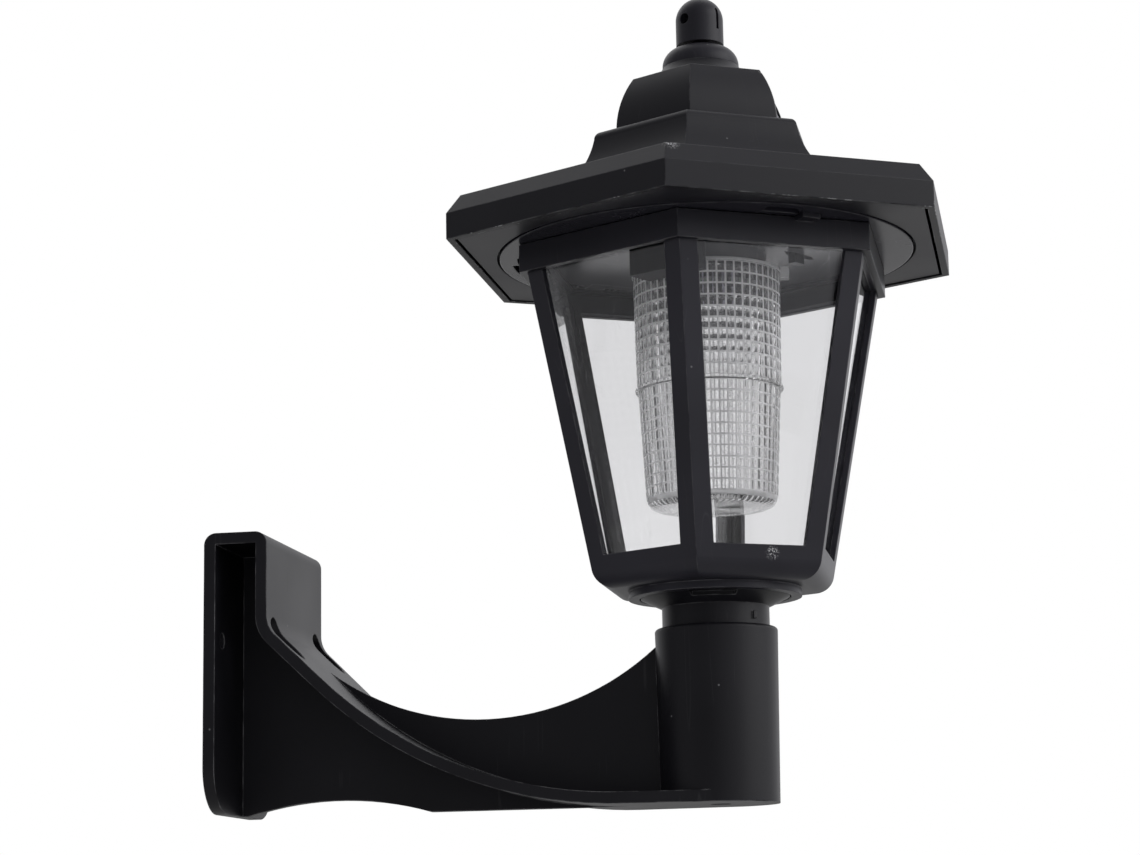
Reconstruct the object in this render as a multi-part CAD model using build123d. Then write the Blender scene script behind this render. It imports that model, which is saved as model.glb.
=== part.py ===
from build123d import *
from math import cos, radians, sin, sqrt, tan
import os

# Solar lantern on a wall bracket: one six-sided head on a moulded arm.
# X runs out from the wall, Y along it and Z up, in millimetres. The origin lies on
# the wall, midway between the two fixing screws.

# Wall bracket
plate_width = 58.0
plate_height = 80.0
plate_thick = 3.4
plate_corner = 13.0
box_depth = 18.7
box_edge = 3.5
skin = 3.3
web = 2.8
screw_height = 49.5
screw_spacing = 44.0
screw_hole = 4.5
access_width = 8.5
access_height = 12.5
reach = 144.3
slope_angle = 44.0
bend_radius = 8.0
sweep_radius = 120.0
sweep_foot = 118.0
web_arc_radius = 77.0
web_arc_x = 76.0
web_arc_low = 26.2
arch_length = 55.0
arch_rise = 4.0
arch_setback = 1.6
socket_height = 50.0
socket_rim = 35.4
socket_foot = 33.8
socket_floor = 3.0
socket_ledge = 2.4
socket_edge = 1.0
drain_hole = 6.0
web_below_rim = 4.8

# Fits between bodies
spigot_clearance = 0.08
seat_gap = 0.3
turn_gap = 0.4

# Post adaptor
neck = 30.9
neck_show = 6.0
spigot_depth = 31.0
adaptor_wall = 2.4
cone_height = 2.9
flange = 43.0
flange_thick = 1.8
bayonet_hub = 34.8
bayonet_foot = 3.1
foot_thick = 1.6
foot_half = 12.0
bayonet_turn = 25.0
entry_play = 2.0
grip_slot_height = 1.2
grip_slot_depth = 3.0
grip_slot_half = 19.0
grip_slot_azimuth = -84.0
nub_size = 1.2
nub_height = 2.1
nub_azimuth = -38.0
nub_drop = 2.4

# Cage
cage_height = 90.7
cage_top_flat = 96.3
cage_slope = 0.18
cage_wall = 2.6
post_wall = 1.8
cage_floor = 2.6
cage_edge = 6.0
boss_ring = 50.0
boss_height = 2.2
post_strip = 5.4
sill_height = 8.8
window_below_ring = 0.4
pane_thick = 1.2
pane_overlap = 2.4
pane_top_gap = 0.5
ring_height = 8.0
ring_wall = 2.1
ring_lip = 3.8
ring_lip_thick = 1.0
collar_fit = 0.1

# Bayonet between the cage ring and the ceiling disc
hook_inner = 53.2
hook_stem = 2.0
hook_reach = 1.8
hook_half = 3.0
hook_thick = 1.6
roof_turn = 10.0
track_play = 0.5
notch_azimuths = (60.0, 180.0, 300.0)
ceiling_gap = 0.3

# Roof, with widths across its flats and heights above the level below
eave_face = 7.6
chamfer_inset = 3.8
chamfer_height = 5.7
tier_foot_flat = 71.0
tier_foot_rise = 7.7
tier_waist_flat = 62.6
tier_waist_rise = 7.2
tier_top_flat = 59.6
tier_rise = 14.9
tier_round = 2.6
bell_foot_flat = 47.4
bell_mid_flat = 44.9
bell_mid_rise = 9.1
bell_top_flat = 37.6
bell_height = 17.1
shoulder_foot = 35.6
shoulder_top = 22.8
shoulder_height = 5.0
roof_wall = 2.0
rib_diameter = 6.0
rib_from_corner = 11.0

# Finial
collar_foot = 22.7
collar_top = 13.4
collar_height = 6.2
knob_gap = 0.9
knob = 14.2
knob_height = 14.9
knob_hole = 3.3
knob_hole_drop = 7.6
knob_hole_azimuth = -33.0
knob_slit = 1.0
knob_slit_depth = 1.6
knob_slit_length = 6.6
stud = 5.0
stud_fit = 0.2
nut_flat = 8.0
nut_height = 3.6

# Base plate and ceiling disc
base_recess = 0.3
base_thick = 2.0
base_gap = 0.9
base_border = 4.8
disc_radius = 60.8
disc_groove = 0.8
disc_lip = 2.8
disc_lip_thick = 1.5

# Battery, a two-thirds AAA cell lying across the ceiling
cell = 10.5
cell_length = 30.0
cell_nipple = 4.0
cell_nipple_height = 1.0
cell_azimuth = 125.0
cell_radius = 49.0
cell_play = 0.2
cradle_wall = 1.2
cradle_height = 6.0
door_length = 34.0
door_width = 15.0
door_thick = 1.5
door_fit = 0.2
door_ledge = 1.4
door_inset = 0.2
door_grip = 1.0
door_grip_width = 7.5
door_grip_from_middle = 8.5
contact_thick = 0.4
contact_width = 8.0
contact_above_middle = 3.5

# Circuit cover under the ceiling
cover_azimuth = 240.0
cover_near = 23.6
cover_depth = 9.0
cover_length = 20.0
cover_offset = 7.8
cover_drop = 11.0
cover_wall = 1.2
board_thick = 1.2
board_play = 0.1
coil_diameter = 4.0
coil_length = 5.0
coil_from_middle = 5.0

# Lamp
holder_radius = 17.6
holder_wall = 1.8
holder_drop = 8.8
lug_thick = 1.5
lug_reach = 1.6
lug_half = 10.0
lug_azimuths = (100.0, 280.0)
led_board_radius = 7.0
led_board_thick = 1.2
led = 5.0
led_flange = 5.8
led_flange_thick = 1.0
led_length = 8.6
led_lead_hole = 6.0

# Diffuser
diffuser_top = 42.6
diffuser_foot = 39.2
diffuser_drop = 5.0
diffuser_upper = 34.0
diffuser_length = 70.0
diffuser_wall = 1.8
diffuser_lip = 1.8
diffuser_bead = 0.5
bead_height = 2.0
diffuser_round = 2.6
diffuser_turn = 24.0
ear_reach = 3.7
ear_half = 6.0
ear_thick = 3.4
ear_rise = 1.2
ear_azimuth = 8.0

# Switch
switch_x = 27.0
switch_y = 4.5
switch_azimuth = 60.0
switch_travel = 3.0
switch_gap = 0.4
slot_point = 3.0
knob_length = 4.6
knob_width = 2.4
knob_drop = 2.8
knob_flange = 1.2
knob_flange_border = 1.0
switch_wall = 1.0
switch_top = 1.4

# Solar panel on the outward face of the bell
panel_width = 22.6
panel_height = 16.4
panel_lean = 20.0
panel_thick = 1.6
panel_sink = 0.95
cell_border = 1.3
cell_thick = 0.9
panel_wire_hole = 4.0

# Wires
wire = 1.2
wire_bend = 2.0
wire_count = 6
wire_gap = 1.6
wire_shift = -3.4
wire_over_cradle = 1.2
wire_run_out = 4.8
panel_wire_level = 9.0
panel_wire_drop_x = 11.2
led_wire_level = 6.6

# The eave is as wide as the ceiling disc, the base plate round it and the roof's lip need
eave_flat = 2 * (disc_radius + disc_groove + base_border + base_gap + roof_wall)
chamfer_flat = eave_flat - 2 * chamfer_inset
rib_radius = eave_flat / 2 / cos(radians(30)) - rib_from_corner

# Levels, with the eave's lower edge at zero
disc_thick = base_recess + base_thick
ring_top = -ceiling_gap
cage_top = ring_top - ring_lip_thick
ring_foot = ring_top - ring_height
cage_foot = ring_foot - cage_height
floor_top = cage_foot + cage_floor
flange_top = cage_foot - seat_gap
cone_top = flange_top - flange_thick
neck_top = cone_top - cone_height
rim_level = neck_top - neck_show
spigot_foot = rim_level - spigot_depth
foot_level = floor_top + seat_gap
foot_top = foot_level + foot_thick
plate_foot = -screw_height
eave_level = plate_foot + socket_height - rim_level

chamfer_top = eave_face + chamfer_height
tier_foot = chamfer_top + tier_foot_rise
tier_top = tier_foot + tier_rise
bell_top = tier_top + bell_height
bell_mid = tier_top + bell_mid_rise
collar_foot_level = bell_top + shoulder_height
collar_level = collar_foot_level + collar_height
knob_level = collar_level + knob_gap
lip_top = disc_thick + disc_lip_thick
cell_level = disc_thick + cell_play + cell / 2
diffuser_rim = -diffuser_drop
diffuser_bead_level = diffuser_rim - diffuser_upper
diffuser_floor = diffuser_rim - diffuser_length
lean = radians(panel_lean)
faces = range(0, 360, 60)
corners = range(30, 360, 60)


def disc(diameter, low, high):
    """Round plate or pin on the lantern's axis, between two levels."""
    middle = (Align.CENTER, Align.CENTER, Align.MIN)
    return Pos(0, 0, low) * Cylinder(diameter / 2, high - low, align=middle)


def block(length, width, low, high):
    """Rectangular block centred on the axis, between two levels."""
    middle = (Align.CENTER, Align.CENTER, Align.MIN)
    return Pos(0, 0, low) * Box(length, width, high - low, align=middle)


def sector(inner, outer, azimuth, half, low, high):
    """Piece of a ring that spans a half angle each side of an azimuth."""
    inner_arc = CenterArc((0, 0), inner, azimuth - half, 2 * half)
    outer_arc = CenterArc((0, 0), outer, azimuth - half, 2 * half)
    ends = [Line(inner_arc @ t, outer_arc @ t) for t in (0, 1)]
    return Pos(0, 0, low) * extrude(make_face([inner_arc, outer_arc] + ends), high - low)


def turned(*points):
    """Solid turned about the lantern's axis from points of radius and level."""
    return revolve(Plane.XZ * Polygon(*points, align=None), Axis.Z)


def six_sided(half_section):
    """Six-sided solid with one section across the flats, met from three directions."""
    section = half_section + mirror(half_section, Plane.YZ)
    slab = extrude(Plane.XZ * section, eave_flat, both=True)
    return slab & Rot(0, 0, 60) * slab & Rot(0, 0, 120) * slab


def straight_six(flat, low, high):
    """Upright six-sided prism of a width across its flats."""
    half = flat / 2
    return six_sided(Polygon((0, low), (half, low), (half, high), (0, high), align=None))


def around(shape, azimuths):
    """Copies of one shape turned to each azimuth."""
    return [Rot(0, 0, azimuth) * shape for azimuth in azimuths]


def sweep_line(inset):
    """Front line of the box, its bend, slope and long sweep, set back by an inset."""
    slope = radians(slope_angle)
    front = box_depth - inset
    foot = plate_foot + skin - inset
    radius = sweep_radius + inset
    low = (sweep_foot - radius * sin(slope), foot + radius * (1 - cos(slope)))
    corner = low[1] + (low[0] - front) * tan(slope)
    bend = bend_radius + inset
    setback = bend * tan(radians(90 - slope_angle) / 2)
    upright = Line((front, plate_foot + plate_height - inset), (front, corner + setback))
    turn = JernArc(upright @ 1, (0, -1), bend, 90 - slope_angle)
    ramp = Line(turn @ 1, low)
    sweep_arc = JernArc(low, (cos(slope), -sin(slope)), radius, slope_angle)
    return [upright, turn, ramp, sweep_arc]


def side_area(inset, back, depth):
    """Area between the wall and the front line, closed along the bottom."""
    front = sweep_line(inset)
    end = front[-1] @ 1
    start = front[0] @ 0
    floor = plate_foot - depth
    rest = Polyline(
        (end.X, end.Y), (reach, end.Y), (reach, floor), (back, floor), (back, start.Y), (start.X, start.Y),
    )
    return make_face(front + [rest])


def wall_bracket():
    """One moulding: wall plate, open box, curved flange, web and socket."""
    outline = Pos(0, plate_foot + plate_height / 2) * Rectangle(plate_width, plate_height)
    outline = fillet(outline.vertices().group_by(Axis.Y)[0], plate_corner)
    plate = extrude(Plane.YZ * outline, plate_thick)

    solid_side = side_area(0, 0, 0)
    hollow = side_area(skin, 0, skin)
    hollow = hollow - Pos(sweep_foot + reach, 0) * Rectangle(2 * reach, 4 * plate_height)
    shell = extrude(Plane.XZ * (solid_side - hollow), plate_width / 2, both=True)
    half = plate_width / 2
    half_end = socket_foot / 2
    taper = Polygon(
        (plate_thick / 2, -half), (box_depth, -half), (reach, -half_end),
        (reach, half_end), (box_depth, half), (plate_thick / 2, half), align=None,
    )
    shell = shell & extrude(taper, plate_height, both=True)

    arm_top = plate_foot + socket_height - web_below_rim
    corner_points = ((box_depth, plate_foot), (reach, plate_foot), (reach, arm_top), (box_depth, arm_top))
    arm = Polygon(*corner_points, align=None)
    arm = arm - Pos(web_arc_x, plate_foot + web_arc_low + web_arc_radius) * Circle(web_arc_radius)
    arch_radius = (arch_length ** 2 / 4 + arch_rise ** 2) / (2 * arch_rise)
    arch_x = plate_thick + arch_setback + arch_length / 2
    arch = Pos(arch_x, plate_foot + arch_rise - arch_radius) * Circle(arch_radius)
    rib = extrude(Plane.XZ * (solid_side + arm - arch), web / 2, both=True)

    low = (reach, 0, plate_foot)
    cup = turned((0, 0), (socket_foot / 2, 0), (socket_rim / 2, socket_height), (0, socket_height))
    cup = fillet(cup.edges().group_by(Axis.Z)[-1], socket_edge)
    body = plate + shell + rib + Pos(*low) * cup
    edges = body.edges().filter_by(Axis.Y).group_by(Axis.Z)[-1]
    body = fillet(edges, box_edge)

    bore = neck + 2 * spigot_clearance
    ledge = socket_height - spigot_depth - seat_gap
    body -= Pos(*low) * disc(bore, ledge, socket_height)
    body -= Pos(*low) * disc(bore - 2 * socket_ledge, socket_floor, ledge)
    body -= Pos(*low) * disc(drain_hole, 0, socket_floor)
    for side in (-1, 1):
        hole = Pos(0, side * screw_spacing / 2, 0) * (Plane.YZ * Circle(screw_hole / 2))
        slot = Pos(plate_thick * 2, side * screw_spacing / 2, 0)
        slot = slot * (Plane.YZ * Rot(0, 0, 90) * SlotOverall(access_height, access_width))
        body -= extrude(hole, plate_thick)
        body -= extrude(slot, reach / 2)
    return body


def post_adaptor():
    """Turned plug for the socket: spigot, neck, cone, flange and bayonet hub with feet."""
    neck_radius = neck / 2
    hub_radius = bayonet_hub / 2
    outside = turned(
        (0, spigot_foot), (neck_radius, spigot_foot), (neck_radius, neck_top), (flange / 2, cone_top),
        (flange / 2, flange_top), (hub_radius, flange_top), (hub_radius, foot_top), (0, foot_top),
    )
    bore_radius = neck_radius - adaptor_wall
    outside -= disc(2 * bore_radius, spigot_foot, foot_top)
    foot_reach = hub_radius + bayonet_foot
    foot = sector(hub_radius - adaptor_wall, foot_reach, bayonet_turn, foot_half, foot_level, foot_top)
    nub_top = neck_top - nub_drop
    nub = Pos(neck_radius, 0, 0) * block(nub_size, nub_size, nub_top - nub_height, nub_top)
    slot_low = cone_top - grip_slot_height
    slot_inner = flange / 2 - grip_slot_depth
    slot = sector(slot_inner, flange, grip_slot_azimuth, grip_slot_half, slot_low, cone_top)
    body = outside + around(foot, notch_azimuths) + Rot(0, 0, nub_azimuth) * nub
    for cut in around(slot, range(0, 360, 120)):
        body -= cut
    return body


def cage_half(level, inset):
    """Half width across the flats of the tapering cage at a level."""
    shift = inset * sqrt(1 + cage_slope ** 2)
    return cage_top_flat / 2 - (ring_foot - level) * cage_slope - shift


def cage_cone(low, high, inset):
    """Tapering six-sided solid between two levels, set in by a wall."""
    points = ((0, low), (cage_half(low, inset), low), (cage_half(high, inset), high), (0, high))
    return six_sided(Polygon(*points, align=None))


def side_plane(inset):
    """Plane on the +X face of the cage, set in by a wall, with its Y up the slope."""
    steep = sqrt(1 + cage_slope ** 2)
    normal = (1 / steep, 0, -cage_slope / steep)
    return Plane(origin=(cage_half(ring_foot, inset), 0, ring_foot), x_dir=(0, 1, 0), z_dir=normal)


def side_outline(low, high, border):
    """Opening in one face between two levels, a border in from the corner lines."""
    steep = sqrt(1 + cage_slope ** 2)
    points = []
    for level in (low, high):
        half = cage_half(level, 0) * tan(radians(30)) - border
        points += [(-half, (level - ring_foot) * steep), (half, (level - ring_foot) * steep)]
    return Polygon(points[0], points[1], points[3], points[2], align=None)


window_low = cage_foot + sill_height
window_high = ring_foot + window_below_ring
pane_low = window_low - pane_overlap


def cage_frame():
    """Posts, sill, floor and boss ring in one moulding, with six windows."""
    outside = cage_cone(cage_foot, ring_foot, 0)
    outside = fillet(outside.edges().group_by(Axis.Z)[0], cage_edge)
    outside += straight_six(cage_top_flat, ring_foot, cage_top)
    body = outside - cage_cone(floor_top, pane_low, cage_wall) - cage_cone(pane_low, cage_top, post_wall)
    outline = side_outline(window_low, window_high, post_strip)
    window = extrude(side_plane(0) * outline, 2 * cage_wall, both=True)
    for opening in around(window, faces):
        body -= opening
    boss_foot = cage_foot - boss_height
    body += disc(boss_ring, boss_foot, cage_foot) - disc(flange + 2 * turn_gap, boss_foot, cage_foot)
    hub = bayonet_hub + 2 * turn_gap
    body -= disc(hub, cage_foot, floor_top)
    entry = sector(hub / 4, hub / 2 + bayonet_foot, 0, foot_half + entry_play, cage_foot, floor_top)
    for notch in around(entry, notch_azimuths):
        body -= notch
    return body


def pane():
    """Clear plate behind one window, lapping the frame all round, on the sill's ledge."""
    outline = side_outline(pane_low, cage_top - pane_top_gap, post_strip - pane_overlap)
    return extrude(side_plane(post_wall) * outline, -pane_thick)


def cage_top_ring():
    """Six-sided band over the posts, lip over the panes, and three bayonet hooks."""
    inner = cage_top_flat + 2 * collar_fit
    outer = inner + 2 * ring_wall
    body = straight_six(outer, ring_foot, ring_top) - straight_six(inner, ring_foot, cage_top)
    body -= straight_six(inner - 2 * ring_lip, cage_top, ring_top)
    stem_outer = hook_inner + hook_stem
    shelf = disc_thick + turn_gap
    tab = sector(inner / 2, stem_outer, roof_turn, hook_half, cage_top, ring_top)
    stem = sector(hook_inner, stem_outer, roof_turn, hook_half, cage_top, shelf + hook_thick)
    toe = sector(hook_inner, stem_outer + hook_reach, roof_turn, hook_half, shelf, shelf + hook_thick)
    return body + around(tab + stem + toe, notch_azimuths)


def roof_section():
    """Half section of the roof across its flats, from the eave to the top of the bell."""
    waist = tier_foot + tier_waist_rise
    rim = (tier_top_flat / 2, tier_top - tier_round)
    step = (tier_top_flat / 2 - tier_round, tier_top)
    bell_foot = (bell_foot_flat / 2, tier_top)
    bell_head = (bell_top_flat / 2, bell_top)
    eave = Polyline(
        (0, 0), (eave_flat / 2, 0), (eave_flat / 2, eave_face), (chamfer_flat / 2, chamfer_top),
        (tier_foot_flat / 2, tier_foot),
    )
    flare = ThreePointArc((tier_foot_flat / 2, tier_foot), (tier_waist_flat / 2, waist), rim)
    nose = CenterArc((step[0], rim[1]), tier_round, 0, 90)
    bell = ThreePointArc(bell_foot, (bell_mid_flat / 2, bell_mid), bell_head)
    axis = Polyline(bell_head, (0, bell_top), (0, 0))
    return make_face([eave, flare, nose, Line(step, bell_foot), bell, axis])


def panel_plane(out):
    """Plane of the solar panel, out from the bell's middle, with its Y up the bell."""
    origin = (bell_mid_flat / 2 + out * cos(lean), 0, bell_mid + out * sin(lean))
    return Plane(origin=origin, x_dir=(0, 1, 0), z_dir=(cos(lean), 0, sin(lean)))


def panel_block(width, height, low, high):
    """Block on the panel's plane between two distances out from the bell."""
    return extrude(panel_plane(low) * Rectangle(width, height), high - low)


def roof_cap():
    """Thin shell of eave, second tier and bell, with ribs that carry the base plate."""
    section = roof_section()
    outside = six_sided(section)
    hollow = six_sided(split(offset(section + mirror(section, Plane.YZ), -roof_wall), Plane.YZ))
    mouth = straight_six(eave_flat - 2 * roof_wall, 0, eave_face - roof_wall)
    rib = Pos(rib_radius, 0, 0) * disc(rib_diameter, disc_thick, bell_top)
    stay = Pos(disc_radius + disc_lip / 2, 0, 0) * disc(disc_lip, lip_top, bell_top)
    body = outside - hollow - mouth
    for rib in around(rib, corners) + around(stay, range(0, 360, 120)):
        body += rib & outside
    foot = shoulder_foot / 2
    head = shoulder_top / 2
    curve = RadiusArc((foot, bell_top), (head, collar_foot_level), 2 * shoulder_height)
    walls = Polyline((head, collar_foot_level), (0, collar_foot_level), (0, bell_top), (foot, bell_top))
    body += revolve(Plane.XZ * make_face([curve, walls]), Axis.Z)
    body -= disc(stud + 2 * stud_fit, bell_top - 2 * roof_wall, collar_foot_level)
    body -= panel_block(panel_width, panel_height, -panel_sink - panel_thick, panel_thick - panel_sink)
    return body - extrude(panel_plane(0) * Circle(panel_wire_hole / 2), 3 * roof_wall, both=True)


def solar_bezel():
    """Shallow tray let into the bell's outward face."""
    tray = panel_block(panel_width, panel_height, -panel_sink - panel_thick, -panel_sink) - solar_cell()
    hole = panel_plane(0) * Circle(panel_wire_hole / 2)
    return tray - extrude(hole, panel_sink + panel_thick, both=True)


def solar_cell():
    """Sealed cell plate in the tray."""
    width = panel_width - 2 * cell_border
    height = panel_height - 2 * cell_border
    return panel_block(width, height, -panel_sink - cell_thick, -panel_sink)


def finial_collar():
    """Round-backed washer under the knob."""
    foot = (collar_foot / 2, collar_foot_level)
    head = (collar_top / 2, collar_level)
    bulge = sin(radians(45))
    middle = (head[0] + (foot[0] - head[0]) * bulge, foot[1] + collar_height * bulge)
    inner = Polyline(head, (0, collar_level), (0, collar_foot_level), foot)
    body = revolve(Plane.XZ * make_face([ThreePointArc(foot, middle, head), inner]), Axis.Z)
    return body - disc(stud + 2 * stud_fit, collar_foot_level, collar_level)


def finial_knob():
    """Bullet-shaped knob with a hanging hole, on its stud."""
    radius = knob / 2
    straight = knob_level + knob_height - radius
    dome = Pos(0, 0, straight) * Sphere(radius)
    body = disc(knob, knob_level, straight) + (dome - disc(knob, straight - radius, straight))
    hole = Pos(0, 0, straight + radius - knob_hole_drop) * Rot(0, 0, knob_hole_azimuth)
    body -= hole * Rot(90, 0, 0) * Cylinder(knob_hole / 2, 2 * knob)
    body -= hole * Pos(radius, 0, 0) * Box(2 * knob_slit_depth, knob_slit, knob_slit_length)
    return body + disc(stud, bell_top - roof_wall - nut_height, knob_level)


def finial_nut():
    """Six-sided nut on the stud, inside the bell."""
    body = straight_six(nut_flat, bell_top - roof_wall - nut_height, bell_top - roof_wall)
    return body - disc(stud, bell_top - roof_wall - nut_height, bell_top)


def roof_base_plate():
    """Six-sided plate under the eave with a round opening."""
    flat = eave_flat - 2 * (roof_wall + base_gap)
    body = straight_six(flat, base_recess, disc_thick)
    return body - disc(2 * (disc_radius + disc_groove), base_recess, disc_thick)


def at_cell(shape):
    """Moves a shape from the battery's own frame to its place on the ceiling."""
    return Rot(0, 0, cell_azimuth) * Pos(cell_radius, 0, 0) * shape


def at_cover(shape):
    """Moves a shape from the circuit cover's own frame to its place on the ceiling."""
    return Rot(0, 0, cover_azimuth) * Pos(cover_near + cover_depth / 2, cover_offset, 0) * shape


def at_switch(shape):
    """Moves a shape from the switch's own frame, with X along its travel."""
    return Pos(switch_x, switch_y, 0) * Rot(0, 0, switch_azimuth) * shape


cradle_inner = cell_length / 2 + cell_play + contact_thick
slot_length = knob_length + switch_travel + 2 * switch_gap
slot_width = knob_width + 2 * switch_gap
cradle_top = disc_thick + cradle_height
wire_slot = (wire_count - 1) * wire_gap + 2 * wire
wire_slot_width = 2 * wire
board_top = cover_wall - cover_drop + board_thick


def ceiling_disc():
    """Round plate with bayonet slots, battery cradle, switch slot and lamp socket."""
    body = disc(2 * disc_radius, 0, disc_thick)
    lip_inner = 2 * disc_radius - disc_lip
    body += disc(2 * (disc_radius + disc_lip), disc_thick, lip_top) - disc(lip_inner, disc_thick, lip_top)
    stem_outer = hook_inner + hook_stem + turn_gap
    stem_inner = hook_inner - turn_gap
    track_half = roof_turn / 2 + hook_half + track_play
    track = sector(stem_inner, stem_outer, roof_turn / 2, track_half, 0, disc_thick)
    entry = sector(stem_inner, stem_outer + hook_reach, 0, hook_half + entry_play, 0, disc_thick)
    for slot in around(track, notch_azimuths) + around(entry, notch_azimuths):
        body -= slot

    seat = 2 * door_fit
    body -= at_cell(block(door_width + seat, door_length + seat, 0, door_inset + door_thick))
    body -= at_cell(block(door_width - 2 * door_ledge, door_length - 2 * door_ledge, 0, disc_thick))
    side = cell / 2 + cell_play
    rail = block(cradle_wall, 2 * cradle_inner + 2 * cradle_wall, disc_thick, cradle_top)
    end = block(2 * side, cradle_wall, disc_thick, cradle_top)
    for sign in (-1, 1):
        body += at_cell(Pos(sign * (side + cradle_wall / 2), 0, 0) * rail)
        body += at_cell(Pos(0, sign * (cradle_inner + cradle_wall / 2), 0) * end)

    end = slot_length / 2
    tip = [(end, -slot_width / 2), (end + slot_point, 0), (end, slot_width / 2)]
    slot = Polygon(*tip, *[(-x, -y) for x, y in tip], align=None)
    body -= at_switch(extrude(slot, disc_thick))
    body -= at_cover(Pos(0, wire_shift, 0) * block(wire_slot_width, wire_slot, 0, disc_thick))
    body -= disc(led_lead_hole, 0, disc_thick)
    holder_inner = holder_radius - holder_wall
    body += disc(2 * holder_radius, -holder_drop, 0) - disc(2 * holder_inner, -holder_drop, 0)
    lug_top = lug_thick - holder_drop
    lug = sector(holder_inner, holder_radius + lug_reach, 0, lug_half, -holder_drop, lug_top)
    return body + around(lug, lug_azimuths)


def battery_door():
    """Snap-in door under the cell, with a thumb groove."""
    body = block(door_width, door_length, door_inset, door_inset + door_thick)
    groove = block(door_grip_width, door_grip, door_inset, door_inset + door_thick / 2)
    for step in (-1, 0, 1):
        body -= Pos(0, 2 * step * door_grip + door_grip_from_middle, 0) * groove
    return at_cell(body)


def battery_cell():
    """Rechargeable cell with its nipple, lying along the cradle."""
    can = Cylinder(cell / 2, cell_length - cell_nipple_height)
    nipple = Pos(0, 0, cell_length / 2) * Cylinder(cell_nipple / 2, cell_nipple_height)
    body = Pos(0, 0, -cell_nipple_height / 2) * (can + nipple)
    return at_cell(Pos(0, 0, cell_level) * Rot(90, 0, 0) * body)


def battery_contacts():
    """Two sprung plates at the ends of the cradle."""
    plate = block(contact_width, contact_thick, disc_thick, cell_level + contact_above_middle)
    place = cradle_inner - contact_thick / 2
    return Compound([at_cell(Pos(0, sign * place, 0) * plate) for sign in (-1, 1)])


def circuit_cover():
    """Open-topped box that hangs from the ceiling over the circuit."""
    walls = 2 * cover_wall
    body = block(cover_depth, cover_length, -cover_drop, 0)
    body -= block(cover_depth - walls, cover_length - walls, cover_wall - cover_drop, 0)
    return at_cover(body)


def circuit_board():
    """Small board on the cover's floor, with its coil."""
    low = cover_wall - cover_drop
    shrink = 2 * (cover_wall + board_play)
    board = block(cover_depth - shrink, cover_length - shrink, low, board_top)
    coil = disc(coil_diameter, board_top, board_top + coil_length)
    return at_cover(board + Pos(0, coil_from_middle, 0) * coil)


def led_board():
    """Round board under the ceiling that carries the lamp."""
    return disc(2 * led_board_radius, -led_board_thick, 0)


def led_lamp():
    """Round-ended light-emitting diode, lens down."""
    low = -led_board_thick - led_length
    round_level = low + led / 2
    dome = Pos(0, 0, round_level) * Sphere(led / 2)
    body = disc(led, round_level, -led_board_thick) + (dome - disc(led, round_level, round_level + led))
    return body + disc(led_flange, -led_board_thick - led_flange_thick, -led_board_thick)


def diffuser():
    """Clear cup with an inward lip, a bead round its middle and a grip ear."""
    top = diffuser_top / 2
    foot = diffuser_foot / 2
    waist = top - diffuser_bead
    low = diffuser_bead_level - bead_height
    outside = turned(
        (0, diffuser_floor), (foot, diffuser_floor), (waist, low), (top + diffuser_bead, low),
        (top + diffuser_bead, diffuser_bead_level), (top, diffuser_bead_level),
        (top, diffuser_rim), (0, diffuser_rim),
    )
    outside = fillet(outside.edges().group_by(Axis.Z)[0], diffuser_round)
    under_lip = diffuser_rim - diffuser_lip
    floor = diffuser_floor + diffuser_wall
    inside = turned(
        (0, floor), (foot - diffuser_wall, floor), (waist - diffuser_wall, low),
        (top - diffuser_wall, under_lip), (0, under_lip),
    )
    inside = fillet(inside.edges().group_by(Axis.Z)[0], diffuser_round - diffuser_wall)
    throat = holder_radius + turn_gap
    body = outside - inside - disc(2 * throat, under_lip, diffuser_rim)
    entry_half = lug_half + entry_play
    entry = sector(throat / 2, throat + lug_reach, -diffuser_turn, entry_half, under_lip, diffuser_rim)
    for notch in around(entry, lug_azimuths):
        body -= notch
    ear_top = diffuser_rim + ear_rise
    ear = sector(top - diffuser_wall / 2, top + ear_reach, 0, ear_half, ear_top - ear_thick, ear_top)
    return body + Rot(0, 0, ear_azimuth) * ear


def switch_body():
    """Closed housing of the slide switch, on top of the ceiling."""
    length = knob_length + 2 * knob_flange_border + switch_travel + 2 * switch_gap
    width = slot_width + 2 * knob_flange_border
    roof = disc_thick + knob_flange + 2 * switch_gap
    body = block(length + 2 * switch_wall, width + 2 * switch_wall, disc_thick, roof + switch_top)
    return at_switch(body - block(length, width, disc_thick, roof))


def switch_knob():
    """Slider with its thumb block below the ceiling and its flange inside the housing."""
    border = 2 * knob_flange_border
    thumb = block(knob_length, knob_width, -knob_drop, disc_thick + switch_gap + knob_flange)
    rest = -switch_travel / 2
    low = disc_thick + switch_gap
    plate = block(knob_length + border, knob_width + border, low, low + knob_flange)
    return at_switch(Pos(rest, 0, 0) * (thumb + plate))


def lead(*points):
    """Insulated wire through a few points, with bends between straight runs."""
    path = FilletPolyline(*points, radius=wire_bend)
    return sweep(Plane(origin=path @ 0, z_dir=path % 0) * Circle(wire / 2), path)


def cover_point(place, level):
    """Point above or inside the circuit cover, at a place along its wire slot."""
    spot = at_cover(Pos(0, wire_shift + (place - (wire_count - 1) / 2) * wire_gap, level)).position
    return (spot.X, spot.Y, spot.Z)


def panel_wires():
    """Two wires from the panel down through the bell to the circuit."""
    wires = []
    for place, side in ((4, -1), (5, 1)):
        start = panel_plane(-panel_sink - cell_thick - wire * tan(lean)).origin
        y = side * wire
        level = panel_wire_level + side * wire
        down = panel_wire_drop_x
        end = cover_point(place, board_top)
        over = (end[0], end[1], level)
        wires.append(lead((start.X, y, start.Z), (down, y, start.Z), (down, y, level), over, end))
    return Compound(wires)


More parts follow.
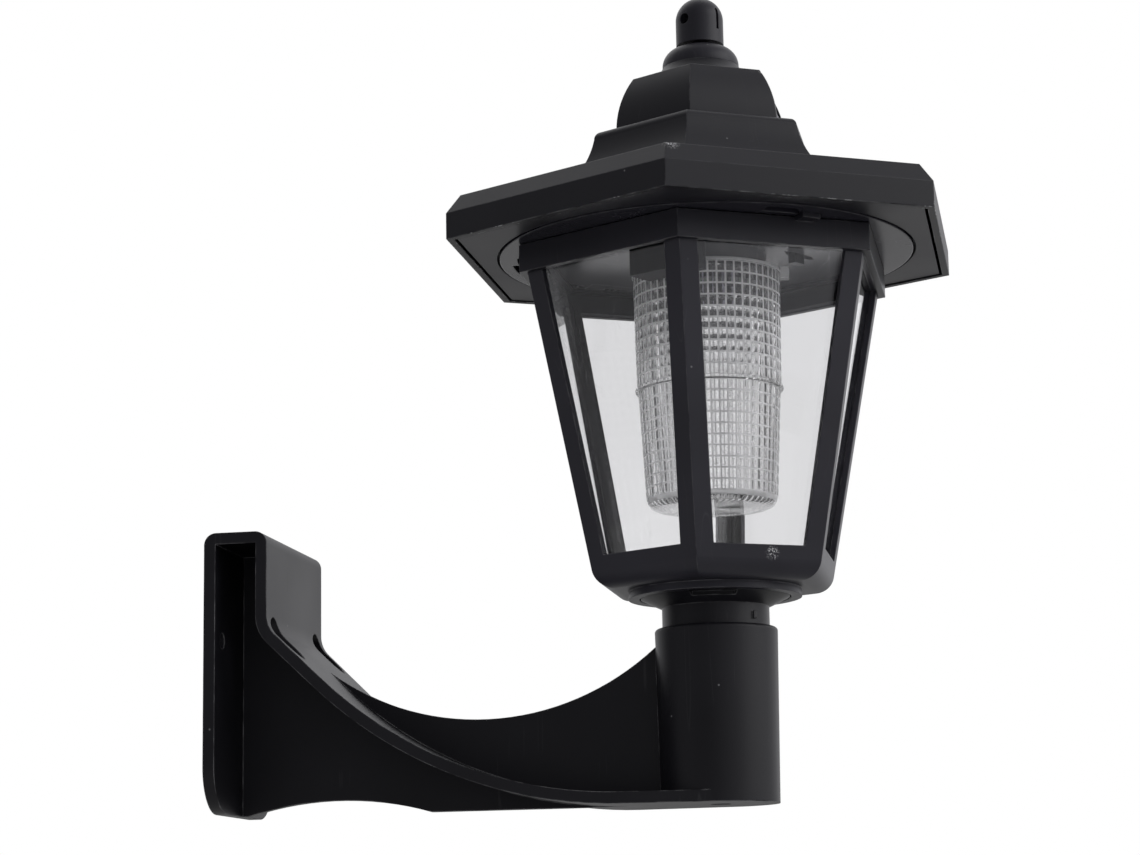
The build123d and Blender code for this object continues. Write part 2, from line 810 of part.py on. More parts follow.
def led_wires():
    """Two wires from the lamp's board up through the ceiling and over to the circuit."""
    wires = []
    for place, side in ((2, -1), (3, 1)):
        start = (side * wire, 0, 0)
        end = cover_point(place, board_top)
        over = (end[0], end[1], led_wire_level)
        wires.append(lead(start, (start[0], 0, led_wire_level), over, end))
    return Compound(wires)


def battery_wires():
    """Two wires from the cell's contacts over the ceiling to the circuit."""
    level = cradle_top + wire_over_cradle
    wires = []
    for place, side in ((0, 1), (1, -1)):
        start = at_cell(Pos(0, side * cradle_inner, level)).position
        out = at_cell(Pos(0, side * (cradle_inner + wire_run_out), level)).position
        end = cover_point(place, board_top)
        over = (end[0], end[1], level)
        wires.append(lead((start.X, start.Y, level), (out.X, out.Y, level), over, end))
    return Compound(wires)


lantern = {
    "post_adaptor": post_adaptor(),
    "cage_frame": cage_frame(),
    "cage_top_ring": cage_top_ring(),
    "roof_cap": roof_cap(),
    "solar_bezel": solar_bezel(),
    "solar_cell": solar_cell(),
    "finial_collar": finial_collar(),
    "finial_knob": finial_knob(),
    "finial_nut": finial_nut(),
    "roof_base_plate": roof_base_plate(),
    "ceiling_disc": ceiling_disc(),
    "battery_door": battery_door(),
    "battery_cell": battery_cell(),
    "battery_contacts": battery_contacts(),
    "circuit_cover": circuit_cover(),
    "circuit_board": circuit_board(),
    "led_board": led_board(),
    "led_lamp": led_lamp(),
    "diffuser": diffuser(),
    "switch_body": switch_body(),
    "switch_knob": switch_knob(),
    "panel_wires": panel_wires(),
    "led_wires": led_wires(),
    "battery_wires": battery_wires(),
}
for number, clear in enumerate(around(pane(), faces), 1):
    lantern[f"pane_{number}"] = clear

os.makedirs("parts", exist_ok=True)
export_step(wall_bracket(), "parts/wall_bracket.step")
for name, shape in lantern.items():
    export_step(Pos(reach, 0, eave_level) * shape, f"parts/{name}.step")
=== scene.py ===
from math import cos, radians, sin, tau

import bmesh
import bpy
from mathutils import Matrix, Vector


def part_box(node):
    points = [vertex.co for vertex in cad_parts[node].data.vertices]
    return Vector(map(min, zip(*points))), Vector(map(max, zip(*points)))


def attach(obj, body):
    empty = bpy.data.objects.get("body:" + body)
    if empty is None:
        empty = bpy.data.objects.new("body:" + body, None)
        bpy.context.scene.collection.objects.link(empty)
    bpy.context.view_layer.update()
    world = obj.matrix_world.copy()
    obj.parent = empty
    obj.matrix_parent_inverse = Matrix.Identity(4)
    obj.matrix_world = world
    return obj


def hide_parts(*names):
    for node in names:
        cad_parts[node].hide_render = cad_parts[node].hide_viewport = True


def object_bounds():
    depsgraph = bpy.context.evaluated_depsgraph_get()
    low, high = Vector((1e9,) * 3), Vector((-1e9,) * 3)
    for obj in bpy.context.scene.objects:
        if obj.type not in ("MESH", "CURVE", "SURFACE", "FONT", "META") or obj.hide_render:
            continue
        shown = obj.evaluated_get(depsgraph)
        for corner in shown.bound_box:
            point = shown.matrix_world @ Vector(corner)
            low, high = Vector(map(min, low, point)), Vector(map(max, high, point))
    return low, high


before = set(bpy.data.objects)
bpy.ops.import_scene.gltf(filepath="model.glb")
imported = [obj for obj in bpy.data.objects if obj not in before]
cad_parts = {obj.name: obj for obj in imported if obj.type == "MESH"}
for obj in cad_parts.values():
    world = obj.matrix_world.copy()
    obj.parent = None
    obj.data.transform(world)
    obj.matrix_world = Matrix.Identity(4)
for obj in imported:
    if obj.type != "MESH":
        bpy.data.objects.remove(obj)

cad_low, cad_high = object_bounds()


# Wall bracket: one black injection moulding of wall plate, open box, swept flange, web and
# socket, held to the wall by two screws. Its satin skin has a fine mould grain, long faint
# drag marks, and paler edges: partly rubbed by handling, partly painted highlight on their
# rounded corners.


class Skin:
    """One socket of a finish. Sums on it add Math nodes, so a mask reads as arithmetic."""

    def __init__(self, tree, socket):
        self.tree = tree
        self.socket = socket

    def node(self, kind, settings, sockets, output=0):
        """Any node: its settings come first, then values or links for its sockets."""
        made = self.tree.nodes.new(kind)
        for name, value in settings.items():
            setattr(made, name, value)
        for name, value in sockets.items():
            if isinstance(value, Skin):
                self.tree.links.new(value.socket, made.inputs[name])
            else:
                made.inputs[name].default_value = value
        return Skin(self.tree, made.outputs[output])

    def sum(self, operation, *terms):
        """One Math node with these terms."""
        return self.node("ShaderNodeMath", {"operation": operation}, dict(enumerate(terms)))

    def __add__(self, other):
        return self.sum("ADD", self, other)

    def __sub__(self, other):
        return self.sum("SUBTRACT", self, other)

    def __rsub__(self, other):
        return self.sum("SUBTRACT", other, self)

    def __mul__(self, other):
        return self.sum("MULTIPLY", self, other)

    def __lt__(self, other):
        return self.sum("LESS_THAN", self, other)

    def __gt__(self, other):
        return self.sum("GREATER_THAN", self, other)

    def __abs__(self):
        return self.sum("ABSOLUTE", self)

    __radd__ = __add__

    def ease(self, low, high):
        """Smooth rise from 0 at low to 1 at high."""
        ends = {"Value": self, "From Min": low, "From Max": high}
        return self.node("ShaderNodeMapRange", {"interpolation_type": "SMOOTHSTEP"}, ends)

    def cloud(self, scale, detail=2.0):
        """Soft noise, with its size as repeats to the metre."""
        return self.node("ShaderNodeTexNoise", {}, {"Vector": self, "Scale": scale, "Detail": detail})

    def stretched(self, turn, scale):
        """Coordinates turned and stretched, for marks that run one way."""
        return self.node("ShaderNodeMapping", {}, {"Vector": self, "Rotation": turn, "Scale": scale})

    def vector(self, operation, other, output=0):
        """One Vector Math node on this vector and another."""
        return self.node("ShaderNodeVectorMath", {"operation": operation}, {0: self, 1: other}, output)

    def part(self, axis):
        """One axis of this vector."""
        return self.node("ShaderNodeSeparateXYZ", {}, {"Vector": self}, axis)

    def ray(self, kind):
        """What the Light Path node says of the ray."""
        return self.node("ShaderNodeLightPath", {}, {}, kind)

    def tint(self, first, second):
        """Colour between two, by this value."""
        return self.node("ShaderNodeMix", {"data_type": "RGBA"}, {0: self, 6: first, 7: second}, 2)

    def feed(self, shader, name):
        """Joins this socket to one of the shader's own."""
        self.tree.links.new(self.socket, shader.inputs[name])


def start_finish(name, fixed):
    """New finish with its fixed values on the shader, and the piece's own coordinates."""
    finish = bpy.data.materials.new(name)
    finish.use_nodes = True
    tree = finish.node_tree
    shader = tree.nodes["Principled BSDF"]
    for socket, value in fixed.items():
        shader.inputs[socket].default_value = value
    return finish, shader, Skin(tree, tree.nodes.new("ShaderNodeTexCoord").outputs["Object"])


def grey(level, blue=1.0, red=1.0):
    """Grey of a linear level, with its blue and red a little stronger or weaker."""
    return (level * red, level, level * blue, 1.0)


def dress(finish, *names):
    """Puts a finish on solids of the frame."""
    for name in names:
        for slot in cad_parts[name].material_slots:
            slot.material = finish


def hairlines(place, turn, length, sparse):
    """Mask of long thin scratches that run one way and come in patches."""
    lines = place.stretched(turn, (210.0, 210.0, length)).cloud(1.0, 1.0)
    return (1 - abs(lines - 0.5).ease(0.0, 0.012)) * place.cloud(46.0).ease(sparse, sparse + 0.1)


def black_moulding(
    name, tone, gloss, edge=0.0005, edge_wear_and_highlight=0.5, scuffs=(), chips_and_highlight=None, painted_light_disc=None, grain=0.07,
):
    """Black satin plastic: mould grain, drag marks, dust, scuffs at places, and edges paled
    partly by rubbing and partly as painted highlight. Edges between the two heights given for
    chips have pale chips, which also stand as painted highlight, and the lighter disc is a
    round area's axis, radius and tone, painted lighter as painted light."""
    finish, shader, place = start_finish(name, {"IOR": 1.47, "Specular IOR Level": 0.28})
    drift = place.cloud(24.0, 3.0)
    marks = hairlines(place, (0.35, 0.2, 0.6), 9.0, 0.56)
    round_edge = place.node("ShaderNodeBevel", {"samples": 6}, {"Radius": edge})
    face = place.node("ShaderNodeNewGeometry", {}, {}, "Normal")
    corner = 1 - round_edge.vector("DOT_PRODUCT", face, "Value")
    # Paler edges: partly rubbing, partly painted highlight where the rounded corners catch light.
    rubbed_and_highlit = corner.ease(0.02, 0.12) * place.cloud(190.0, 4.0).ease(0.34, 0.66)
    specks = place.node("ShaderNodeTexVoronoi", {}, {"Vector": place, "Scale": 150.0})
    dust = (1 - specks.ease(0.03, 0.06)) * (place.cloud(47.0, 0.0) > 0.6)
    pale = dust * 0.3
    for point, radius in scuffs:
        patch = 1 - place.vector("DISTANCE", point, "Value").ease(radius * 0.2, radius)
        pale = pale + patch * place.cloud(2400.0, 3.0).ease(0.5, 0.6) * 0.8
    # Pale chips along edges in a height band: partly chips, partly painted highlight on those edges.
    if chips_and_highlight:
        low, high = chips_and_highlight
        band = (place.part("Z") > low) * (place.part("Z") < high)
        runs = place.cloud(70.0, 1.0).ease(0.42, 0.6) * place.cloud(650.0, 2.0).ease(0.48, 0.58)
        pale = pale + band * corner.ease(0.06, 0.14) * runs * 0.8
    darker, paler = (grey(tone * share, 1.3, 1.04) for share in (0.85, 1.15))
    colour = drift.ease(0.3, 0.7).tint(darker, paler)
    # A round area painted a lighter grey: painted light.
    if painted_light_disc:
        axis, radius, painted_light_tone = painted_light_disc
        painted_light_inside = place.vector("MULTIPLY", (1.0, 1.0, 0.0)).vector("DISTANCE", axis, "Value") < radius
        colour = painted_light_inside.tint(colour, grey(painted_light_tone, 1.06))
    mark_grey, rubbed_highlight_grey, chip_highlight_grey = grey(0.1), grey(0.17), grey(0.5)
    colour = (marks * 0.1).tint(colour, mark_grey)
    # Edge colour: rubbed wear and painted highlight together.
    colour = (rubbed_and_highlit * edge_wear_and_highlight).tint(colour, rubbed_highlight_grey)
    pale.ease(0.0, 1.0).tint(colour, chip_highlight_grey).feed(shader, "Base Color")
    (gloss + (drift - 0.5) * 0.14 + marks * 0.05 + rubbed_and_highlit * 0.05).feed(shader, "Roughness")
    relief = place.cloud(2300.0, 2.0) + marks * -0.4
    bump = {"Strength": grain, "Distance": 0.0002, "Height": relief, "Normal": round_edge}
    place.node("ShaderNodeBump", {}, bump).feed(shader, "Normal")
    return finish


bracket_black = black_moulding("bracket_black", 0.0065, 0.42, edge_wear_and_highlight=0.9)
dress(bracket_black, "wall_bracket")


# Post adaptor: a turned-looking black moulding that drops into the bracket's socket. Its
# cone has finger slots, and the bayonet feet above the flange hold the cage floor.

dress(black_moulding("adaptor_black", 0.006, 0.38), "post_adaptor")


# Cage: six tapering posts with a sill and floor in one moulding, and a six-sided band that
# snaps over their tops. The sill's outer corner has been knocked and shows a pale scuff.

sill_scuff = ((0.1642, -0.0268, 0.0180), 0.0028)
cage_black = black_moulding("cage_black", 0.018, 0.4, scuffs=[sill_scuff])
dress(cage_black, "cage_frame")
dress(black_moulding("ring_black", 0.014, 0.36), "cage_top_ring")


# Panes: six clear plates of polystyrene, slid down behind the posts before the band goes
# on. Sliding has left fine scratches and a little haze along their edges.


def lit_through(finish, shader, cover, cover_share):
    """Lets lamps reach what is behind clear plastic, and lays white over it by a mask, for wear or, on
    the cup's lines, painted light.
    """
    tree = finish.node_tree
    own = Skin(tree, shader.outputs[0])
    open_way = own.node("ShaderNodeBsdfTransparent", {}, {"Color": grey(0.93)})
    passed = own.node("ShaderNodeMixShader", {}, {0: own.ray("Is Shadow Ray"), 1: own, 2: open_way})
    white = own.node("ShaderNodeBsdfDiffuse", {}, {"Color": cover})
    white_wear_and_light = own.node("ShaderNodeMixShader", {}, {0: cover_share, 1: passed, 2: white})
    tree.links.new(white_wear_and_light.socket, tree.nodes["Material Output"].inputs["Surface"])


def clear_sheet(name, tint, haze):
    """Clear plastic plate with sparse scratches, and bright specks on its wall side."""
    fixed = {"Base Color": tint, "Transmission Weight": 1.0, "IOR": 1.4, "Roughness": 0.0}
    finish, shader, place = start_finish(name, fixed)
    rubbing = hairlines(place, (0.1, 0.05, 0.0), 14.0, 0.58)
    crossing = hairlines(place, (0.9, 0.4, 0.3), 30.0, 0.6)
    specks = place.node("ShaderNodeTexVoronoi", {}, {"Vector": place, "Scale": 900.0})
    near_wall = 1 - place.part("X").ease(0.098, 0.112)
    glitter = (1 - specks.ease(0.12, 0.3)) * place.cloud(120.0, 3.0).ease(0.5, 0.62) * near_wall
    streaks = place.stretched((0.0, 0.25, 0.0), (90.0, 90.0, 7.0)).cloud(1.0, 2.0)
    film = near_wall * streaks.ease(0.45, 0.75)
    share = rubbing * haze + crossing * haze + glitter * 0.5 + film * 0.16
    lit_through(finish, shader, grey(0.8), share)
    return finish


pane_clear = clear_sheet("pane_clear", grey(0.86, 1.01), 0.1)
dress(pane_clear, *[f"pane_{number}" for number in range(1, 7)])


# Ceiling: base plate under the eave, round disc that twists on to the cage, battery door
# and the box over the circuit. The plate is dull, and the disc came from a polished mould.

dress(black_moulding("plate_black", 0.014, 0.42, edge_wear_and_highlight=0.3), "roof_base_plate")
cup_low, cup_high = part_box("diffuser")
cup_y = (cup_low.y + cup_high.y) / 2
cup_x = cup_low.x + cup_y - cup_low.y
# Inside the cage the disc and battery door are painted lighter grey: painted light for the light and
# reflections that come in through the panes.
ceiling_painted_light = ((cup_x, cup_y, 0.0), 0.049, 0.1)
ceiling_black = black_moulding("ceiling_black", 0.016, 0.24, edge_wear_and_highlight=0.3, painted_light_disc=ceiling_painted_light, grain=0.015)
dress(ceiling_black, "ceiling_disc", "battery_door")
dress(black_moulding("cover_black", 0.01, 0.5), "circuit_cover")


# Electronics: round lamp board, five-millimetre lamp in violet-tinted resin, small circuit
# board with its coil, shrink-wrapped cell, sprung contacts and thin wires. The lamp's resin
# is painted paler and less clear than real resin, as painted glint.

lamp_resin, shader, place = start_finish(
    "lamp_resin", {"Transmission Weight": 0.35, "IOR": 1.53, "Roughness": 0.08},
)
# Pale lavender colour: painted glint of the lamp behind the prisms.
place.cloud(900.0).tint((0.78, 0.74, 1.0, 1.0), (0.92, 0.9, 1.0, 1.0)).feed(shader, "Base Color")
dress(lamp_resin, "led_lamp")

board_green, shader, place = start_finish("board_green", {"IOR": 1.5, "Coat Weight": 0.3})
tracks = place.stretched((0.0, 0.0, radians(60)), (1.0, 1.0, 1.0)).node(
    "ShaderNodeTexBrick", {"offset": 0.5}, {"Scale": 400.0, "Mortar Size": 0.012}, "Fac",
)
colour = place.cloud(260.0).tint((0.012, 0.07, 0.028, 1.0), (0.02, 0.11, 0.045, 1.0))
tracks.tint(colour, (0.06, 0.2, 0.08, 1.0)).feed(shader, "Base Color")
(0.35 + place.cloud(500.0) * 0.15).feed(shader, "Roughness")
dress(board_green, "circuit_board", "led_board")

cell_wrap, shader, place = start_finish("cell_wrap", {"IOR": 1.5})
wrinkle = place.cloud(320.0, 3.0)
wrinkle.tint((0.02, 0.12, 0.05, 1.0), (0.035, 0.19, 0.085, 1.0)).feed(shader, "Base Color")
(0.24 + wrinkle * 0.16).feed(shader, "Roughness")
creases = {"Strength": 0.2, "Distance": 0.0003, "Height": wrinkle}
place.node("ShaderNodeBump", {}, creases).feed(shader, "Normal")
dress(cell_wrap, "battery_cell")


def plated_steel(name, colour, brushed):
    """Bright plated metal with faint brushing."""
    finish, shader, place = start_finish(name, {"Metallic": 1.0})
    brush = place.stretched((0.0, 0.0, 0.7), (3000.0, 120.0, 3000.0)).cloud(1.0, 3.0)
    (brush * 0.5).tint(colour, grey(0.4)).feed(shader, "Base Color")
    (brushed + brush * 0.2).feed(shader, "Roughness")
    return finish


dress(plated_steel("contact_plating", (0.62, 0.6, 0.56, 1.0), 0.2), "battery_contacts")
dress(plated_steel("nut_plating", (0.58, 0.57, 0.52, 1.0), 0.25), "finial_nut")

wire_skin, shader, place = start_finish("wire_skin", {"IOR": 1.5})
place.cloud(420.0).tint((0.22, 0.012, 0.01, 1.0), (0.34, 0.02, 0.016, 1.0)).feed(shader, "Base Color")
(0.4 + place.cloud(900.0) * 0.15).feed(shader, "Roughness")
dress(wire_skin, "panel_wires", "led_wires", "battery_wires")

dress(black_moulding("switch_black", 0.007, 0.44), "switch_body")


# Diffuser: a clear moulded cup that twists on to the lamp socket. Its wall is cast in small
# raised prisms with rounded faces, those above the bead sloped, and it has a plain bead round
# the middle, an inward lip and one grip ear. Its profile is radius and height in millimetres.

columns = 52
cup_turn = radians(8)
prism_steps = ((0.00028, 0.00014), (0.0004, 0.00006), (0.0004, 0.00002))
lens_height = 0.00018
bead_top, row_height = 0.0356, 0.00334
row_bulge, wedge_slope = 0.55, 0.13
ear_rise = 0.0012
foot = cup_low.z
rows_below = [(18.7 + 1.7 * step / 10, 2.6 + 31.9 * step / 10) for step in range(11)]
bead = [(21.2, 34.5), (21.5, 34.8), (21.5, 35.3), (21.2, 35.6)]
rows_above = [(20.7 + 0.6 * step / 10, 35.6 + 33.4 * step / 10) for step in range(11)]
lip = [(21.7, 69.0), (21.7, 69.8), (21.5, 70.0), (18.0, 70.0), (18.0, 68.2), (19.5, 68.2)]
inner = [
    (19.4, 52.0), (19.1, 36.0), (18.8, 34.0), (18.0, 19.0), (17.1, 4.2), (16.4, 2.4), (15.0, 1.8),
]
round_foot = [(16.4, 0.0), (17.7, 0.5), (18.3, 1.3)]
profile = round_foot + rows_below + bead + rows_above + lip + inner
radius, height = 15.0, 0.0

bpy.ops.object.select_all(action="DESELECT")
bpy.ops.mesh.primitive_circle_add(
    vertices=columns, radius=radius / 1000, fill_type="NGON", location=(cup_x, cup_y, foot),
    rotation=(0, 0, cup_turn),
)
cup = bpy.context.object
cup.name = "prism_cup"
bpy.ops.object.transform_apply(location=True, rotation=True, scale=True)
bpy.ops.object.mode_set(mode="EDIT")
bpy.ops.mesh.select_all(action="SELECT")
bpy.ops.mesh.region_to_loop()
for next_radius, next_height in profile:
    bpy.ops.mesh.extrude_edges_move()
    grow = next_radius / radius
    bpy.ops.transform.resize(value=(grow, grow, 1), center_override=(cup_x, cup_y, foot))
    bpy.ops.transform.translate(value=(0, 0, (next_height - height) / 1000))
    radius, height = next_radius, next_height
bpy.ops.mesh.edge_face_add()
bpy.ops.mesh.select_all(action="SELECT")
bpy.ops.mesh.normals_make_consistent(inside=False)


def select_cup(wanted, kind="faces"):
    """Selects the cup's faces or points whose radius, height and azimuth are wanted."""
    mesh = bmesh.from_edit_mesh(cup.data)
    bpy.ops.mesh.select_all(action="DESELECT")
    for item in getattr(mesh, kind):
        middle = item.calc_center_median() if kind == "faces" else item.co
        out = Vector((middle.x - cup_x, middle.y - cup_y))
        turn = Vector((1, 0)).angle_signed(out, 0.0) if out.length > 1e-6 else 0.0
        if wanted(out.length * 1000, (middle.z - foot) * 1000, -turn, item):
            item.select_set(True)
    mesh.select_flush_mode()
    bmesh.update_edit_mesh(cup.data)


def beside(turn, azimuth, half):
    """True within a half angle of an azimuth or of the one opposite."""
    return abs(sin(turn - radians(azimuth))) < sin(radians(half))


def inward(turn, face):
    """True for a face that looks at the cup's axis."""
    return face.normal.x * cos(turn) + face.normal.y * sin(turn) < -0.5


def give_cup(number):
    """Puts one of the cup's three finishes on the faces that are selected."""
    cup.active_material_index = number
    bpy.ops.object.material_slot_assign()


prism_clear, shader, place = start_finish("prism_clear", {"Transmission Weight": 1.0, "IOR": 1.49})
flow = place.cloud(60.0, 2.0)
flow.tint(grey(0.985), grey(0.998)).feed(shader, "Base Color")
(flow * 0.08).feed(shader, "Roughness")
from_axis = place.vector("SUBTRACT", (cup_x, cup_y, 0.0))
east, north, up_cup = (from_axis.part(axis) for axis in "XYZ")
lens_turn = (north.sum("ARCTAN2", north, east) - cup_turn) * columns
above_bead = up_cup - (foot + bead_top)
row_turn = above_bead * (tau / row_height)
wedge = above_bead * (wedge_slope / lens_height) - row_turn.sum("COSINE", row_turn) * row_bulge
lens_bulge = (above_bead > 0.0) * wedge - lens_turn.sum("COSINE", lens_turn)
bulge = {"Strength": 1.0, "Distance": lens_height, "Height": lens_bulge}
place.node("ShaderNodeBump", {}, bulge).feed(shader, "Normal")
lit_through(prism_clear, shader, grey(0.85), flow.ease(0.2, 0.8) * 0.04)

# The lines between the prisms are frosted white, and above the bead painted much whiter: painted light
# for the light their ridges catch and bend.
prism_frost_and_light, shader, place = start_finish("prism_frost_and_light", {"Transmission Weight": 0.85, "IOR": 1.4})
cast = place.cloud(210.0, 3.0)
cast.tint(grey(0.94), grey(0.99)).feed(shader, "Base Color")
(0.15 + cast * 0.15).feed(shader, "Roughness")
# Upper lines whiter: painted light.
upper_painted_light = place.part("Z").ease(foot + 0.03, foot + 0.05)
lit_through(prism_frost_and_light, shader, grey(0.97), 0.1 + cast * 0.16 + upper_painted_light * 0.62)

cup_inside, shader, place = start_finish("cup_inside", {"Transmission Weight": 1.0, "IOR": 1.49})
draw = place.stretched((0.0, 0.0, 0.0), (160.0, 160.0, 12.0)).cloud(1.0, 2.0)
draw.tint(grey(0.985), grey(0.998)).feed(shader, "Base Color")
(draw * 0.06).feed(shader, "Roughness")
lit_through(cup_inside, shader, grey(0.85), draw.ease(0.5, 0.8) * 0.04)

cells, frosted_and_lit, inside = range(3)
for finish in (prism_clear, prism_frost_and_light, cup_inside):
    cup.data.materials.append(finish)
bpy.ops.mesh.select_mode(type="FACE")
select_cup(lambda out, up, turn, face: inward(turn, face) or up < 1.3)
give_cup(inside)
select_cup(lambda out, up, turn, face: 1.3 < up < 2.6 and out > 18 or out > 20.2 and up > 69)
give_cup(frosted_and_lit)
select_cup(
    lambda out, up, turn, face: out > 18.4 and not inward(turn, face) and abs(face.normal.z) < 0.4
    and (2.6 < up < 34.5 or 35.6 < up < 69)
)
give_cup(frosted_and_lit)
for border, rise in prism_steps:
    bpy.ops.mesh.inset(thickness=border, depth=rise, use_individual=True)
    give_cup(cells)

ear_half, ear_reach, ear_drop = radians(6), 0.0025, 0.001
ear_out = Vector((cos(cup_turn), sin(cup_turn), 0))
select_cup(
    lambda out, up, turn, face: out > 21 and 68.9 < up < 69.9 and abs(face.normal.z) < 0.3
    and cos(turn - cup_turn) > cos(ear_half)
)
bpy.ops.mesh.extrude_region_move(TRANSFORM_OT_translate={"value": ear_out * ear_reach})
select_cup(lambda out, up, turn, face: out > 22 and face.normal.z < -0.8)
bpy.ops.mesh.extrude_region_move(TRANSFORM_OT_translate={"value": (0, 0, -ear_drop)})
select_cup(lambda out, up, turn, face: out > 22 and face.normal.z > 0.8)
bpy.ops.mesh.extrude_region_move(TRANSFORM_OT_translate={"value": (0, 0, ear_rise)})

bpy.ops.mesh.select_mode(type="VERT")
notch_azimuth, notch_half, notch_grow = 76.0, 12.0, 1.075
select_cup(
    lambda out, up, turn, point: out < 18.2 and up > 68 and beside(turn, notch_azimuth, notch_half),
    "verts",
)
bpy.ops.transform.resize(value=(notch_grow, notch_grow, 1), center_override=(cup_x, cup_y, foot))
bpy.ops.mesh.select_all(action="SELECT")
bpy.ops.mesh.normals_make_consistent(inside=False)
bpy.ops.object.mode_set(mode="OBJECT")
bpy.ops.object.shade_smooth_by_angle(angle=radians(48))

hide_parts("diffuser")
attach(cup, "diffuser")


# Switch: a black slider whose thumb block shows under the ceiling. It slides in a slot of
# the ceiling disc.

dress(black_moulding("slider_black", 0.006, 0.42), "switch_knob")


# Roof: a thin six-sided shell of eave, second tier and bell. The eave's front corner has a
# pale scuff on its upper edge, and its lower edges have small pale chips, which also stand
# as painted highlight along those edges.

eave_scuff = ((0.1455, -0.0752, 0.1238), 0.0034)
eave_chip_highlight_band = (0.1095, 0.1125)
roof_black = black_moulding(
    "roof_black", 0.0075, 0.45, edge=0.0006, edge_wear_and_highlight=0.6, scuffs=[eave_scuff], chips_and_highlight=eave_chip_highlight_band,
)
dress(roof_black, "roof_cap")


# Solar panel: a dark cell sealed in a shallow tray on the bell's outward face. Its foot is
# potted in pale lavender-grey resin, and thin silver fingers cross the cell.

panel_low, panel_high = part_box("solar_cell")
panel_middle = (panel_low + panel_high) / 2
panel_lean = radians(20)
tray_black, shader, place = start_finish("tray_black", {"IOR": 1.5, "Specular IOR Level": 0.28})
tray_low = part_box("solar_bezel")[0]
sealed = 1 - place.part("Z").ease(tray_low.z + 0.005, tray_low.z + 0.0062)
colour = place.cloud(180.0, 3.0).tint(grey(0.006, 1.3), grey(0.008, 1.3))
sealed.tint(colour, (0.8, 0.78, 0.82, 1.0)).feed(shader, "Base Color")
(0.4 + place.cloud(700.0) * 0.2).feed(shader, "Roughness")
dress(tray_black, "solar_bezel")

finger_gap, finger_half = 0.0009, 0.00006
bus_place, bus_half = 0.0033, 0.00022
solar_blue, shader, place = start_finish(
    "solar_blue", {"IOR": 1.5, "Coat Weight": 0.8, "Coat Roughness": 0.05},
)
flat = place.vector("SUBTRACT", tuple(panel_middle)).stretched((0.0, panel_lean, 0.0), (1.0, 1.0, 1.0))
across, upward = flat.part("Y"), flat.part("Z")
finger = abs(across.sum("PINGPONG", across, finger_gap)) < finger_half
bus = abs(abs(upward) - bus_place) < bus_half
silver = finger.sum("MAXIMUM", finger, bus)
crystal = place.node("ShaderNodeTexVoronoi", {}, {"Vector": place, "Scale": 340.0}, "Color")
shade = crystal.node("ShaderNodeSeparateColor", {}, {"Color": crystal}, "Red")
colour = shade.tint((0.006, 0.008, 0.022, 1.0), (0.014, 0.018, 0.05, 1.0))
silver.tint(colour, grey(0.5)).feed(shader, "Base Color")
(0.22 + silver * 0.15).feed(shader, "Roughness")
dress(solar_blue, "solar_cell")


# Finial: a round-backed collar and a bullet-shaped knob with a hanging hole, both black and
# glossier than the roof because they are held to fit them.

dress(black_moulding("finial_black", 0.015, 0.42, edge=0.0003), "finial_collar", "finial_knob")


# Studio: a pale floor well below the lantern, clear when seen from under it, a white
# surround, a soft key from the right and a weaker fill from above, and the camera low in
# front, looking up.

floor_size, floor_drop = 6, 0.32
bpy.ops.object.select_all(action="DESELECT")
bpy.ops.mesh.primitive_plane_add(size=floor_size, location=(cad_high.x / 2, 0, cad_low.z - floor_drop))
floor = bpy.context.object
floor.name = "studio_floor"
floor_paint, shader, place = start_finish("floor_paint", {"IOR": 1.3})
place.cloud(3.0, 3.0).tint(grey(0.76), grey(0.8)).feed(shader, "Base Color")
(0.7 + place.cloud(14.0) * 0.1).feed(shader, "Roughness")
paint = Skin(floor_paint.node_tree, shader.outputs[0])
through, glossy = paint.ray("Is Transmission Ray"), paint.ray("Is Glossy Ray")
mirrored = (through + glossy).ease(0.0, 1.0)
sweep = through.tint(grey(0.42), grey(0.95))
glow = paint.node("ShaderNodeEmission", {}, {"Color": sweep})
seen = paint.node("ShaderNodeMixShader", {}, {0: mirrored, 1: paint, 2: glow})
below = paint.node("ShaderNodeNewGeometry", {}, {}, "Backfacing")
open_way = paint.node("ShaderNodeBsdfTransparent", {}, {})
seen = paint.node("ShaderNodeMixShader", {}, {0: below, 1: seen, 2: open_way})
floor_end = floor_paint.node_tree.nodes["Material Output"]
floor_paint.node_tree.links.new(seen.socket, floor_end.inputs["Surface"])
floor.data.materials.append(floor_paint)

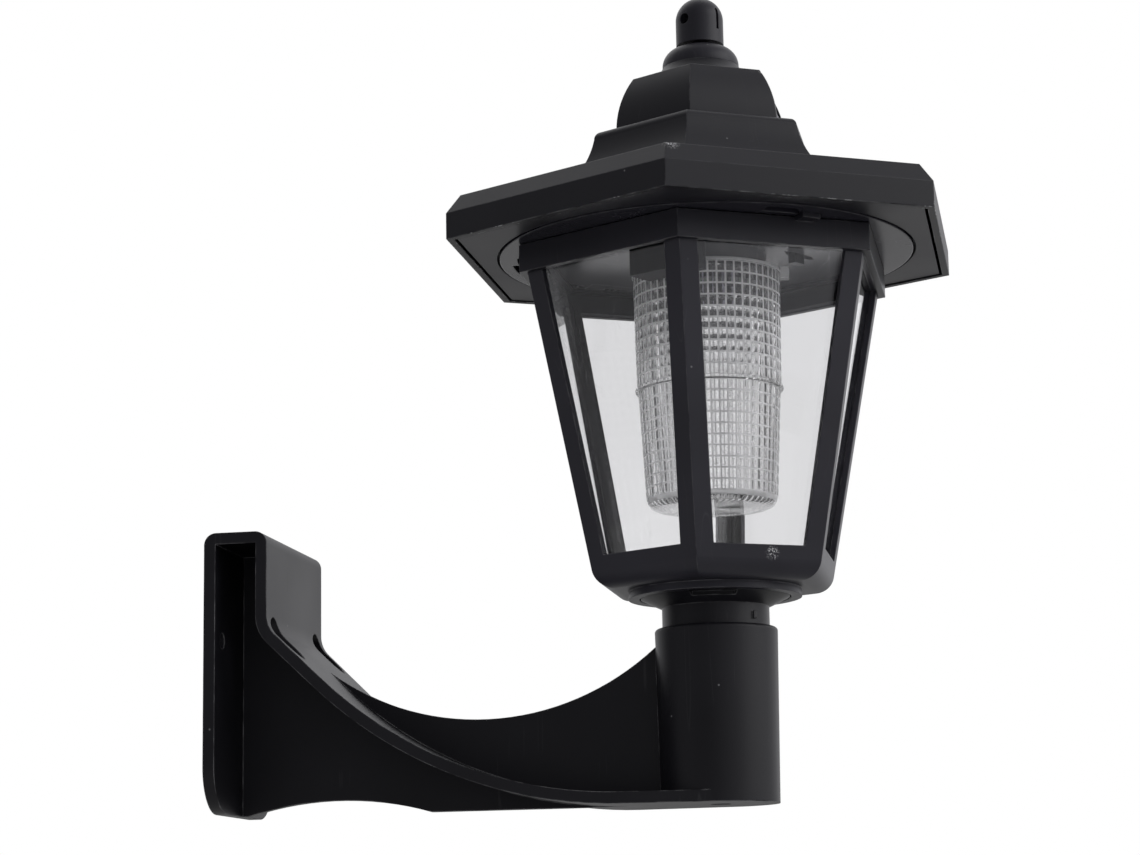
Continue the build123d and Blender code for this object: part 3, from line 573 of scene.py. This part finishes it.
world = bpy.data.worlds.new("studio")
bpy.context.scene.world = world
world.use_nodes = True
tree = world.node_tree
sky = tree.nodes["Background"]
toward = Skin(tree, tree.nodes.new("ShaderNodeTexCoord").outputs["Generated"])
side, back, over = (toward.part(axis) for axis in "XYZ")
behind = back.ease(0.05, 0.8)
left = (0 - side).ease(0.2, 1.0)
room = 0.15 + side.ease(-0.3, 0.95) * 0.72 + left * 0.19 + behind * 0.5 + over.ease(0.2, 1.0) * 0.05
direct, glossy = toward.ray("Is Camera Ray"), toward.ray("Is Glossy Ray")
clear_way = toward.ray("Is Transmission Ray") * (toward.ray("Diffuse Depth") < 0.5)
mirrored = clear_way.sum("MAXIMUM", clear_way, glossy)
tent = 0.55 + side.ease(-0.5, 1.0) * 0.2
light = tent + mirrored * (room - tent)
white = direct + clear_way * back.ease(-0.75, 0.05) + glossy * behind * 0.5
shade = light.tint(grey(0.0), grey(0.98, 1.06))
white.sum("MINIMUM", white, 1.0).tint(shade, grey(1.0)).feed(sky, "Color")

lamp_target = Vector((0.12, 0, 0.06))
for name, spot, size, power in (
    ("key_lamp", (1.15, -0.15, 0.55), 1.0, 6.0),
    ("top_lamp", (-0.2, 0.5, 1.1), 1.2, 2.6),
):
    aim = (lamp_target - Vector(spot)).to_track_quat("-Z", "Y").to_euler()
    bpy.ops.object.light_add(type="AREA", location=spot, rotation=aim)
    lamp = bpy.context.object
    lamp.name = name
    lamp.data.size = size
    lamp.data.energy = power

lens = 86.653
yaw, pitch, roll = radians(-10.389), radians(10.885), radians(-1.027)
stand = Vector((0.24572, -0.78049, -0.09089))
ahead = Vector((sin(yaw) * cos(pitch), cos(yaw) * cos(pitch), sin(pitch)))
right = ahead.cross(Vector((0, 0, 1))).normalized()
above = right.cross(ahead)
level = cos(roll) * right + sin(roll) * above
up = cos(roll) * above - sin(roll) * right
bpy.ops.object.camera_add()
camera = bpy.context.object
camera.matrix_world = Matrix.Translation(stand) @ Matrix((level, up, -ahead)).transposed().to_4x4()
camera.data.lens = lens
camera.data.sensor_width = 36
bpy.context.scene.camera = camera
bpy.context.scene.view_settings.view_transform = "Standard"
